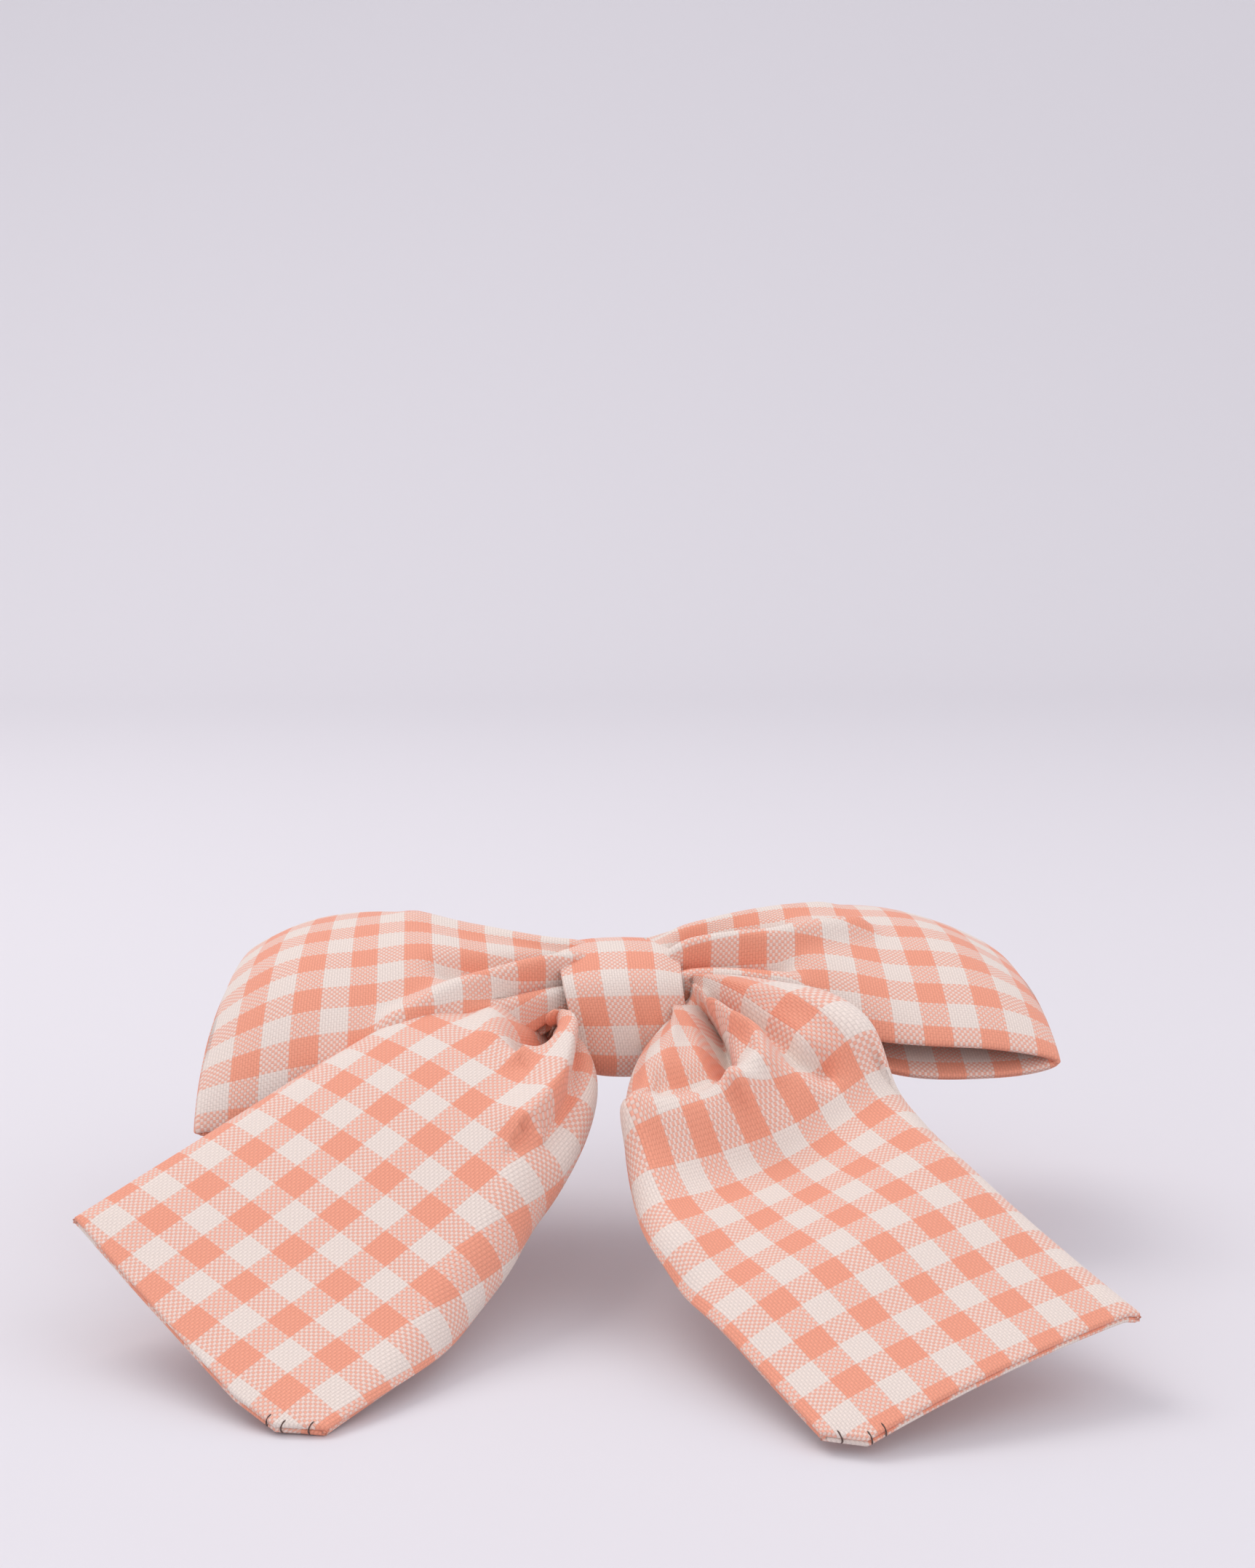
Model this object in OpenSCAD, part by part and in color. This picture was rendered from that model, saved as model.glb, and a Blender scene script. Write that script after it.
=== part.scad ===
// Fabric hair bow on a sprung hair clip.
// Frame: origin at the middle of the clip's grip, +X along the clip towards its catch,
// -Y towards the tails, +Z up through the knot. The hair side of the clip faces -Z.
// All sizes in mm.

/* [Loops] */
// Length of one loop from the bow's centre to its outer fold
loop_reach = 78;      // [60:1:95]
// Height of the loop strip, measured straight across
strip_h = 53;         // [40:1:70]
// Thickness of one ply of cloth with its soft loft
ply_t = 0.8;          // [0.4:0.1:1.2]
// Thickness of the interfacing between two plies
interfacing_t = 0.4;  // [0.2:0.1:0.8]
// Tilt of the loops, front edge down
loop_tilt = 20;       // [0:1:40]
// Rise of the front face between its two edges
front_rise = 12;      // [6:0.5:16]
// Rise of the back face between its two edges
back_rise = 5;        // [0:0.5:8]
// Height of the pinched middle
pinch_h = 14;         // [10:0.5:20]

/* [Knot] */
// Width of the knot band along the bow
knot_w = 21;          // [14:0.5:28]
// Middle of the pinched bundle, forward of the clip
bundle_y = -5;        // [-8:0.5:0]
// Middle of the pinched bundle, above the clip's grip
bundle_z = 13.8;      // [11:0.1:16]

/* [Tails] */
// Width of each tail
tail_w = 56;          // [40:1:70]
// Length of the left tail from its tip to its gathered neck
left_tail_l = 94;     // [60:1:120]
// Length of the right tail from its tip to its gathered neck
right_tail_l = 104;   // [60:1:120]
// Reach of each tail's square end beyond its own frame's middle
tip_reach = 40;       // [30:1:50]
// Width of the gathered neck
neck_w = 7;           // [6:0.5:16]

/* [Clip] */
// Length of the clip's base bar
bar_l = 64;           // [50:1:80]
// Width of the clip's base bar
bar_w = 8;            // [6:0.5:10]
// Thickness of the base bar
bar_t = 1.0;          // [0.6:0.1:1.4]
// Underside of the base bar above the grip's origin
bar_z = 6.2;          // [5:0.1:8]
// Hinge pin position along the bar
pin_x = -25;          // [-30:0.5:-20]
// Height of the hinge pin
pin_z = 1.1;          // [0.6:0.1:2]
// Radius of the hinge pin
pin_r = 0.6;          // [0.4:0.05:0.9]
// Running clearance of the arm's knuckle on the pin
pin_gap = 0.06;       // [0.02:0.01:0.1]
// Thickness of the lever arm
arm_t = 0.8;          // [0.5:0.1:1.2]
// Position of the catch along the bar
catch_x = 24.5;       // [20:0.5:28]

/* [Hidden] */
$fn = 48;

peach = [0.93, 0.56, 0.44];
cream = [0.93, 0.89, 0.83];
steel = [0.72, 0.73, 0.75];
half_h = strip_h / 2;
// radii of the two cylinders that the front and back faces lie on
front_r = (half_h * half_h + front_rise * front_rise) / (2 * front_rise);
back_r = (half_h * half_h + back_rise * back_rise) / (2 * back_rise);
// heights of the two faces' crests above the bundle's middle
front_crest = 4;
back_crest = -3;
// gap between one ply and the next
ply_gap = 0.1;
// bow-tie plan: full height beyond full_x, part of it at part_x, pinched within pinch_x
full_x = 55;
part_x = 30;
part_share = 0.66;
pinch_x = 12;
// windings round the pinched middle
winding_t = 0.3;
winding_w = 0.5;
winding_h = 7.6;
// hand stitches and the thread that holds the clip
stitch_r = 0.25;
thread_r = 0.22;
thread_top = 5.5;     // above the underside of the base bar
// clip
sew_x = 30;           // sewing holes in the base bar's ends
sew_r = 0.9;
ear_r = 1.7;
ear_t = 0.8;
knuckle_r = 1.5;
knuckle_l = bar_w - 2;
arm_w = 6;
catch_w = 8;
slot = 5;
strip_w = 5;
strip_t = 0.35;
strip_low = 4.8;      // lowest point of the bowed strip
strip_half = 19;
rivet_r = 0.7;
head_r = 1.3;
head_t = 0.35;
strip_rivet_x = -18.5;
catch_rivet_x = 19.8;
bracket_t = 0.6;
prong_low = -2.4;
prong_w = 3;
prong_t = 0.4;
prong_y = 1.7;

// ---- loops: one strip folded at both outer ends, pinched in the middle ----

module in_bow_frame() {
    translate([0, bundle_y, bundle_z]) rotate([loop_tilt, 0, 0]) children();
}

module x_cylinder(r, l) {
    rotate([0, 90, 0]) cylinder(r = r, h = l, center = true, $fn = 96);
}

// the space between the front and back faces, drawn in by an inset
module loop_space(inset, end_inset) {
    intersection() {
        difference() {
            translate([0, 0, front_crest - front_r])
                x_cylinder(front_r - inset, 2 * (loop_reach - end_inset));
            translate([0, 0, back_crest - back_r])
                x_cylinder(back_r + inset, 2 * loop_reach + 20);
        }
        translate([0, 0, -10]) cube([4 * loop_reach, 4 * loop_reach, 60], center = true);
    }
}

module bow_plan(h) {
    p = pinch_h / 2;
    m = half_h * part_share;
    end = loop_reach + 2;
    translate([0, 0, -h / 2]) linear_extrude(height = h)
        polygon([[-end, -half_h], [-full_x, -half_h], [-part_x, -m], [-pinch_x, -p],
                 [pinch_x, -p], [part_x, -m], [full_x, -half_h], [end, -half_h],
                 [end, half_h], [full_x, half_h], [part_x, m], [pinch_x, p],
                 [-pinch_x, p], [-part_x, m], [-full_x, half_h], [-end, half_h]]);
}

module loop_shell(start, thick) {
    in_bow_frame() intersection() {
        difference() {
            loop_space(start, start);
            loop_space(start + thick, start + thick);
        }
        bow_plan(60);
    }
}

module loops_outer_ply() {
    color(peach) loop_shell(0, ply_t);
}

module loops_interfacing() {
    color(cream) loop_shell(ply_t + ply_gap, interfacing_t);
}

module loops_inner_ply() {
    color(peach) loop_shell(ply_t + interfacing_t + 2 * ply_gap, ply_t);
}

// windings of thread that draw the middle of the strip together
module gather_thread() {
    l = pinch_h + 0.4;
    mid = (front_crest + back_crest) / 2 - 0.17;
    color(cream) in_bow_frame() for (x = [-2.2, 0, 2.2]) translate([x, 0, mid])
        rotate([90, 0, 90]) difference() {
            cube([l + 2 * winding_t, winding_h + 2 * winding_t, winding_w], center = true);
            cube([l, winding_h, 2], center = true);
        }
}

// ---- knot ----

knot_outer = [[5.6, 7.6], [7.4, 10], [7.6, 15.5], [5.8, 19.8], [1.8, 22.5], [-6, 22.5],
              [-12.4, 20], [-16.4, 14], [-18.2, 7], [-18, 1.2], [-15.6, -0.8],
              [-12.2, -0.6], [-8.6, 2.6], [-5.2, 7.6]];
knot_inner = [[5, 9.0], [6, 10.6], [6.2, 15.2], [4.7, 18.9], [1.3, 21.1], [-5.6, 21.1],
              [-11.4, 18.8], [-15.1, 13.4], [-16.8, 6.8], [-16.6, 1.9], [-15.1, 0.6],
              [-12.8, 0.8], [-10, 3.4], [-6.4, 9.0]];

module knot_band() {
    color(peach) rotate([90, 0, 90]) difference() {
        linear_extrude(height = knot_w, center = true) polygon(knot_outer);
        linear_extrude(height = knot_w + 2, center = true) polygon(knot_inner);
    }
}

// short hand stitches that close the band on its rear face
module knot_seam_stitches() {
    color(cream) for (x = [-7.5 : 3 : 7.5]) translate([x, 8.1, 11.5])
        rotate([0, 55, 0]) cylinder(r = stitch_r, h = 2.2, center = true, $fn = 16);
}

// ---- tails ----

module in_left_tail() {
    translate([-47.8, -56.8, -9]) rotate([21, 21, -42]) children();
}

module in_right_tail() {
    translate([29.6, -77.5, -12]) rotate([15, -15, 21]) children();
}

// side is +1 when the blunt corner lies towards +X of the tail's own frame;
// neck_x is how far the gathered neck sits off the tail's middle line
module tail_outline(side, l, neck_x, inset) {
    w = tail_w / 2 - inset;
    tip = inset - tip_reach;
    neck = l - tip_reach;
    polygon([[-side * w, tip + 5], [-side * w, neck - 34],
             [neck_x - side * neck_w / 2, neck], [neck_x + side * neck_w / 2, neck],
             [side * w * 0.7, neck - 22], [side * w, neck - 40],
             [side * w, tip + 8], [side * (w - 9), tip - 1]]);
}

module left_ply(z0, thick, inset) {
    in_left_tail() translate([0, 0, z0]) linear_extrude(height = thick)
        tail_outline(1, left_tail_l, -7, inset);
}

module right_ply(z0, thick, inset) {
    in_right_tail() translate([0, 0, z0]) linear_extrude(height = thick)
        tail_outline(-1, right_tail_l, 12, inset);
}

front_z = interfacing_t / 2 + ply_gap;

module left_tail_front_ply() {
    color(peach) left_ply(front_z, ply_t, 0);
}

module left_tail_interfacing() {
    color(cream) left_ply(-interfacing_t / 2, interfacing_t, 1.5);
}

module left_tail_back_ply() {
    color(peach) left_ply(-front_z - ply_t, ply_t, 0);
}

module right_tail_front_ply() {
    color(peach) right_ply(front_z, ply_t, 0);
}

module right_tail_interfacing() {
    color(cream) right_ply(-interfacing_t / 2, interfacing_t, 1.5);
}

module right_tail_back_ply() {
    color(peach) right_ply(-front_z - ply_t, ply_t, 0);
}

// stitches that close the turning gap beside the blunt corner
module closing_stitches(side) {
    for (i = [0 : 2])
        translate([side * (tail_w / 2 - 13 - 3 * i), -tip_reach - 1.1 + 0.46 * i, 0])
            cylinder(r = stitch_r, h = 2.2, center = true, $fn = 16);
}

module left_tail_stitches() {
    color(cream) in_left_tail() closing_stitches(1);
}

module right_tail_stitches() {
    color(cream) in_right_tail() closing_stitches(-1);
}

// ---- thread that sews the clip's ends to the back of the loops ----

module thread_run(l) {
    cylinder(r = thread_r, h = l, $fn = 16);
}

module end_thread(side) {
    low = bar_z - 0.4;
    high = bar_z + thread_top;
    wide = bar_l / 2 - sew_x + 1.1;   // from the hole out past the bar's round end
    for (y = [-0.5, 0, 0.5]) translate([side > 0 ? sew_x : -sew_x - wide, y, 0]) {
        for (x = [0, wide]) translate([x, 0, low]) thread_run(high - low);
        for (z = [low, high]) translate([-thread_r, 0, z]) rotate([0, 90, 0])
            thread_run(wide + 2 * thread_r);
    }
}

module sewing_thread_left() {
    color(cream) end_thread(-1);
}

module sewing_thread_right() {
    color(cream) end_thread(1);
}

// ---- clip ----

module y_cylinder(r, l, x, z) {
    translate([x, 0, z]) rotate([90, 0, 0]) cylinder(r = r, h = l, center = true);
}

module clip_base_bar() {
    color(steel) difference() {
        union() {
            translate([-bar_l / 2 + bar_w / 2, -bar_w / 2, bar_z])
                cube([bar_l - bar_w, bar_w, bar_t]);
            for (s = [-1, 1]) translate([s * (bar_l - bar_w) / 2, 0, bar_z])
                cylinder(r = bar_w / 2, h = bar_t);
            for (s = [-1, 1]) translate([0, s * (bar_w - ear_t) / 2, 0]) {
                translate([pin_x - ear_r, -ear_t / 2, pin_z])
                    cube([2 * ear_r, ear_t, bar_z - pin_z + 0.2]);
                y_cylinder(ear_r, ear_t, pin_x, pin_z);
            }
        }
        for (s = [-1, 1]) translate([s * sew_x, 0, bar_z - 1]) cylinder(r = sew_r, h = 4);
        y_cylinder(pin_r, 2 * bar_w, pin_x, pin_z);
        for (x = [strip_rivet_x, catch_rivet_x]) translate([x, 0, bar_z - 1])
            cylinder(r = rivet_r, h = 4);
    }
}

module clip_hinge_pin() {
    color(steel) {
        y_cylinder(pin_r, bar_w + 0.2, pin_x, pin_z);
        for (s = [-1, 1]) translate([0, s * (bar_w / 2 + 0.25), 0])
            y_cylinder(pin_r + 0.4, 0.4, pin_x, pin_z);
    }
}

// lever arm: knuckle on the pin, flat arm, wider catch end with its slot
module clip_lever_arm() {
    color(steel) difference() {
        union() {
            y_cylinder(knuckle_r, knuckle_l, pin_x, pin_z);
            translate([pin_x, -arm_w / 2, -arm_t / 2]) cube([catch_x - pin_x + 4, arm_w, arm_t]);
            translate([catch_x - 4, -catch_w / 2, -arm_t / 2]) cube([7.5, catch_w, arm_t]);
            translate([catch_x + 3.5, 0, -arm_t / 2]) cylinder(r = catch_w / 2, h = arm_t);
        }
        y_cylinder(pin_r + pin_gap, 2 * bar_w, pin_x, pin_z);
        translate([catch_x, 0, 0]) cube([slot, slot, 4], center = true);
    }
}

// bowed spring strip that presses the hair against the arm
module clip_tension_strip() {
    r = (strip_half * strip_half + 1) / 2;
    color(steel) intersection() {
        translate([-2, 0, strip_low + r]) rotate([90, 0, 0]) difference() {
            cylinder(r = r, h = strip_w, center = true, $fn = 96);
            cylinder(r = r - strip_t, h = strip_w + 1, center = true, $fn = 96);
        }
        translate([-2 - strip_half, -strip_w, 4]) cube([2 * strip_half, 2 * strip_w, 2.15]);
    }
}

module rivet(x, low) {
    translate([x, 0, 0]) {
        translate([0, 0, low]) cylinder(r = rivet_r, h = bar_z + bar_t + head_t - low);
        translate([0, 0, low - head_t]) cylinder(r = head_r, h = head_t);
        translate([0, 0, bar_z + bar_t]) cylinder(r = head_r, h = head_t);
    }
}

module clip_strip_rivet() {
    color(steel) rivet(strip_rivet_x, bar_z - 0.8);
}

module clip_catch_bracket() {
    color(steel) difference() {
        translate([catch_rivet_x - 1.8, -2.4, bar_z - bracket_t]) cube([9.6, 4.8, bracket_t]);
        translate([catch_rivet_x, 0, bar_z - 2]) cylinder(r = rivet_r, h = 4);
    }
}

module clip_catch_rivet() {
    color(steel) rivet(catch_rivet_x, bar_z - bracket_t);
}

// sprung prong that hangs from the bracket and passes through the arm's slot
module catch_prong(side) {
    y = side * (prong_y + prong_t / 2);
    translate([catch_x - prong_w / 2, y - prong_t / 2, prong_low])
        cube([prong_w, prong_t, bar_z - bracket_t - 0.1 - prong_low]);
    translate([catch_x - 1.2, y + side * 0.25 - 0.15, -1.1]) cube([2.4, 0.3, 0.5]);
}

module catch_prong_front() {
    color(steel) catch_prong(-1);
}

module catch_prong_back() {
    color(steel) catch_prong(1);
}

loops_outer_ply();
loops_interfacing();
loops_inner_ply();
gather_thread();
knot_band();
knot_seam_stitches();
left_tail_front_ply();
left_tail_interfacing();
left_tail_back_ply();
left_tail_stitches();
right_tail_front_ply();
right_tail_interfacing();
right_tail_back_ply();
right_tail_stitches();
sewing_thread_left();
sewing_thread_right();
clip_base_bar();
clip_hinge_pin();
clip_lever_arm();
clip_tension_strip();
clip_strip_rivet();
clip_catch_bracket();
clip_catch_rivet();
catch_prong_front();
catch_prong_back();
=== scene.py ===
"""Gingham hair bow on a sprung hair clip: the looks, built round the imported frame.

Cloth shapes are worked out in millimetres in the frame of the clip: X along the clip,
-Y towards the tails, +Z up through the knot. Meshes are made in metres.
"""

import logging
import math
from dataclasses import dataclass, field
from enum import Enum

import bpy
import numpy as np
from mathutils import Matrix, Vector


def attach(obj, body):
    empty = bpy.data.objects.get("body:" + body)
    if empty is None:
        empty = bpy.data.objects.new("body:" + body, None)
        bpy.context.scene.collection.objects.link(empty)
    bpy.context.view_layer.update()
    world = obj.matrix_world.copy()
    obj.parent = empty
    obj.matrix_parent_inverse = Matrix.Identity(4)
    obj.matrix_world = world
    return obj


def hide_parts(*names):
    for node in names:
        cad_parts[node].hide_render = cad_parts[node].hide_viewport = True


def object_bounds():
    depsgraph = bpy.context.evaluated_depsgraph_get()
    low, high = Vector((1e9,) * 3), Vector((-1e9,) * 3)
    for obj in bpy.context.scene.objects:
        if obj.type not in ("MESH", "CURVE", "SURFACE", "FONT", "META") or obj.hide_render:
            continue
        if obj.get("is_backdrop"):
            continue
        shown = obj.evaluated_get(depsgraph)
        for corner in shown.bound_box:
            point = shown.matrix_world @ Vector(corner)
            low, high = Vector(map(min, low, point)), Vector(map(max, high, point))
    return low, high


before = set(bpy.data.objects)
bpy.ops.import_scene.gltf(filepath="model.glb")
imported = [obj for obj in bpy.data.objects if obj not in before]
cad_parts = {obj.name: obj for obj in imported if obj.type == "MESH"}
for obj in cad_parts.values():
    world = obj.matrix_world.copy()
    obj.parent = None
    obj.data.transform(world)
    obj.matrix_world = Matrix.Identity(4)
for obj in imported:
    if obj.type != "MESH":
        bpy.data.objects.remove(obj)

log = logging.getLogger("hair_bow")

MM = 0.001
NUDGE = 0.05
CLOTH_MAP = "cloth"
BOW_BODY = "bow"

Grid = np.ndarray


# ---- small shaping helpers ----


def ease(x: Grid, low: float, high: float) -> Grid:
    """Goes smoothly from 0 at low to 1 at high.

    Args:
        x: Where to look.
        low: Last place at 0.
        high: First place at 1.

    Returns:
        The eased share, from 0 to 1.
    """
    t = np.clip((x - low) / (high - low), 0.0, 1.0)
    return t * t * (3.0 - 2.0 * t)


def ridge(x: Grid, at: Grid | float, width: Grid | float) -> Grid:
    """A rounded ridge of height 1.

    Args:
        x: Where to look.
        at: Middle of the ridge.
        width: How far its flanks reach.

    Returns:
        The height, from 0 to 1.
    """
    return np.exp(-(((x - at) / width) ** 2))


def lip(s: Grid, radius: float) -> tuple[Grid, Grid]:
    """Rolls the edge of a ply over to its seam.

    Args:
        s: Distance along the cloth from the seam.
        radius: Radius of the roll.

    Returns:
        Distance in from the outermost line, and height above the seam.
    """
    turn = np.clip(s / radius, 0.0, math.pi)
    inset = radius - radius * np.sin(turn) + np.maximum(s - math.pi * radius, 0.0)
    return inset, radius - radius * np.cos(turn)


def dense_ends(count: int, length: float, fine: float, share: float) -> Grid:
    """Steps along a cloth, closer together at both ends.

    Args:
        count: Number of points.
        length: Length along the cloth.
        fine: Length of each finely divided end.
        share: Share of the points that each end takes.

    Returns:
        The points, from 0 to length.
    """
    t = np.linspace(0.0, 1.0, count)
    return np.interp(t, [0, share, 1 - share, 1], [0, fine, length - fine, length])


def through(keys: list[tuple[float, ...]], x: Grid) -> Grid:
    """Runs a smooth curve through a few key points.

    Args:
        keys: Rows of a position followed by one or more values.
        x: Positions to look up.

    Returns:
        The values at x, with one column for each value.
    """
    table = np.array(keys, float)
    at, value = table[:, 0], table[:, 1:]
    slope = np.gradient(value, at, axis=0)
    x = np.clip(x, at[0], at[-1])
    i = np.clip(np.searchsorted(at, x, side="right") - 1, 0, len(at) - 2)
    step = at[i + 1] - at[i]
    t = ((x - at[i]) / step)[..., None]
    step = step[..., None]
    return (
        value[i] * (1 + 2 * t) * (1 - t) ** 2
        + slope[i] * step * t * (1 - t) ** 2
        + value[i + 1] * t * t * (3 - 2 * t)
        + slope[i + 1] * step * t * t * (t - 1)
    )


# ---- meshes ----


class Cloth:
    """Turns grids of points into closed thin sheets that carry their own cloth map."""

    @staticmethod
    def normals(points: Grid) -> Grid:
        """Finds the unit normals of a grid.

        Args:
            points: Rows by columns by xyz.

        Returns:
            A unit normal for each point.
        """
        along = np.gradient(points, axis=0)
        across = np.gradient(points, axis=1)
        n = np.cross(across, along)
        return n / np.maximum(np.linalg.norm(n, axis=-1, keepdims=True), 1e-9)

    @staticmethod
    def sheet(name: str, points: Grid, uv: Grid, thick: float) -> bpy.types.Object:
        """Makes a closed sheet of even thickness from a grid.

        Args:
            name: Name of the piece.
            points: Outer face in millimetres, rows by columns by xyz.
            uv: Place on the cloth in millimetres, rows by columns by two.
            thick: Thickness, laid on the side away from the normals.

        Returns:
            The mesh object, with smooth shading.
        """
        rows, cols = points.shape[:2]
        normal = Cloth.normals(points)
        faces_of = points, points - normal * thick
        index = np.arange(rows * cols).reshape(rows, cols)
        a, b, c, d = index[:-1, :-1], index[:-1, 1:], index[1:, 1:], index[1:, :-1]
        top = np.stack([a, b, c, d], -1).reshape(-1, 4)
        under = top[:, ::-1] + rows * cols
        rims = (index[:, 0][::-1], index[:, -1], index[0], index[-1][::-1])
        sides = [
            np.stack([r[1:], r[:-1], r[:-1] + rows * cols, r[1:] + rows * cols], -1)
            for r in rims
        ]
        faces = np.concatenate([top, under, *sides])
        mesh = bpy.data.meshes.new(name)
        coords = np.concatenate([f.reshape(-1, 3) for f in faces_of]) * MM
        mesh.from_pydata(coords.tolist(), [], faces.tolist())
        flat_uv = np.concatenate([uv.reshape(-1, 2)] * 2)
        layer = mesh.uv_layers.new(name=CLOTH_MAP)
        layer.data.foreach_set("uv", flat_uv[faces.ravel()].ravel())
        mesh.shade_smooth()
        piece = bpy.data.objects.new(name, mesh)
        bpy.context.scene.collection.objects.link(piece)
        return piece

    @staticmethod
    def threads(name: str, paths: list[Grid], radius: float) -> bpy.types.Object:
        """Makes a few round threads with pointed ends as one piece.

        Args:
            name: Name of the piece.
            paths: Centrelines in millimetres, one for each thread.
            radius: Radius of the thread.

        Returns:
            The mesh object, with smooth shading.
        """
        sides = 10
        spin = np.linspace(0, 2 * math.pi, sides, endpoint=False)
        coords, faces = [], []
        for path in paths:
            along = np.gradient(path, axis=0)
            along /= np.linalg.norm(along, axis=1, keepdims=True)
            flat = np.cross(along[0], along[len(along) // 2])
            flat /= np.linalg.norm(flat)
            other = np.cross(along, flat)
            ends = np.linspace(-1, 1, len(path)) ** 8
            thin = radius * np.sqrt(np.clip(1 - ends, 0.01, 1))
            around = (
                np.cos(spin)[None, :, None] * flat
                + np.sin(spin)[None, :, None] * other[:, None]
            )
            base = len(coords) * len(path) * sides
            coords.append((path[:, None] + around * thin[:, None, None]).reshape(-1, 3))
            for i in range(len(path) - 1):
                for j in range(sides):
                    a, b = base + i * sides + j, base + i * sides + (j + 1) % sides
                    faces.append((a, b, b + sides, a + sides))
            last = base + (len(path) - 1) * sides
            faces.append(tuple(range(base + sides - 1, base - 1, -1)))
            faces.append(tuple(range(last, last + sides)))
        mesh = bpy.data.meshes.new(name)
        mesh.from_pydata((np.concatenate(coords) * MM).tolist(), [], faces)
        mesh.shade_smooth()
        piece = bpy.data.objects.new(name, mesh)
        bpy.context.scene.collection.objects.link(piece)
        return piece


def tie(
    piece: bpy.types.Object, node: str, finish: bpy.types.Material
) -> None:
    """Dresses a piece of the bow and ties it to the frame.

    Args:
        piece: The piece.
        node: The frame's node that it takes the place of.
        finish: Its material.
    """
    piece.data.materials.append(finish)
    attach(piece, BOW_BODY)
    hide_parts(node)


# ---- finishes ----


class Nodes:
    """Short calls for building a material's nodes."""

    def __init__(self, name: str) -> None:
        """Starts a material with one principled shader.

        Args:
            name: The material's name.
        """
        self.material = bpy.data.materials.new(name)
        self.material.use_nodes = True
        self.tree = self.material.node_tree
        self.shader = self.tree.nodes["Principled BSDF"]

    def add(self, kind: str, **settings: object) -> bpy.types.Node:
        """Adds a node.

        Args:
            kind: The node's type name without its prefix.
            settings: Properties to set on it.

        Returns:
            The node.
        """
        made = self.tree.nodes.new("ShaderNode" + kind)
        for key, value in settings.items():
            setattr(made, key, value)
        return made

    def link(self, source: object, target: bpy.types.NodeSocket) -> None:
        """Links a socket, or sets a plain value.

        Args:
            source: Socket or plain value.
            target: The input that takes it.
        """
        if isinstance(source, bpy.types.NodeSocket):
            self.tree.links.new(source, target)
        else:
            target.default_value = source

    def math(self, operation: str, *values: object) -> bpy.types.NodeSocket:
        """Adds a math node.

        Args:
            operation: The operation's name.
            values: Sockets or numbers for its inputs.

        Returns:
            Its output socket.
        """
        made = self.add("Math", operation=operation)
        for socket, value in zip(made.inputs, values):
            self.link(value, socket)
        return made.outputs[0]

    def mix(
        self, share: object, a: object, b: object, blend: str = "MIX"
    ) -> bpy.types.NodeSocket:
        """Mixes two colours.

        Args:
            share: Socket or number, 0 for the first colour.
            a: First colour.
            b: Second colour.
            blend: How they are blended.

        Returns:
            The mixed colour's socket.
        """
        made = self.add("Mix", data_type="RGBA", blend_type=blend)
        self.link(share, made.inputs[0])
        self.link(a, made.inputs[6])
        self.link(b, made.inputs[7])
        return made.outputs[2]

    def noise(
        self, vector: object, scale: float, detail: float = 2.0
    ) -> bpy.types.NodeSocket:
        """Adds a noise texture.

        Args:
            vector: Socket with the place.
            scale: Its scale.
            detail: Its detail.

        Returns:
            Its even grey output.
        """
        made = self.add("TexNoise")
        self.link(vector, made.inputs["Vector"])
        made.inputs["Scale"].default_value = scale
        made.inputs["Detail"].default_value = detail
        return made.outputs[0]


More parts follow.
